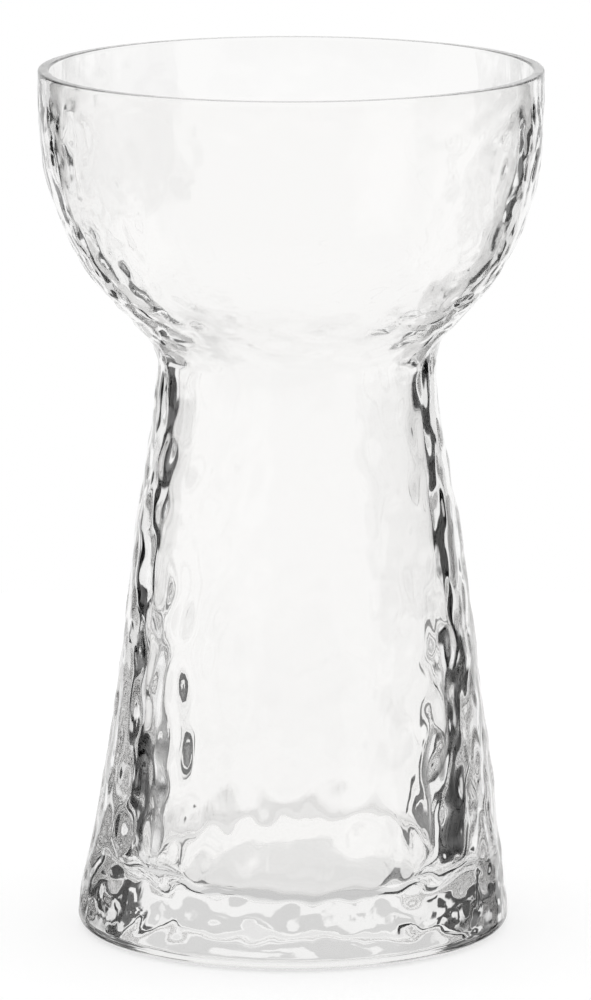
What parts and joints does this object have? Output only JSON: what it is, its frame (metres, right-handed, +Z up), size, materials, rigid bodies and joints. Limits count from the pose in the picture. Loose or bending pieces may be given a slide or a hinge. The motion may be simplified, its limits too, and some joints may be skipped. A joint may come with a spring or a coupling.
{
  "type": "hyacinth forcing vase",
  "caption": "Clear hammered-glass forcing vase: a deep cup holds a bulb over a narrow throat, above a flared water chamber on a thick foot.",
  "frame": {"origin": "centre of the foot on the surface that the vase stands on", "axes": "+Z up along the vase's axis of revolution, from the foot to the lip; X and Y are any two square directions, as the vase is round"},
  "size_m": [0.087, 0.087, 0.15],
  "materials": {
    "clear_glass": "clear, fire-polished, hammered relief"
  },
  "bodies": {
    "root": {"foot": "clear_glass", "root_chamber": "clear_glass", "throat": "clear_glass", "bulb_cup": "clear_glass", "lip": "clear_glass"}
  },
  "joints": []
}
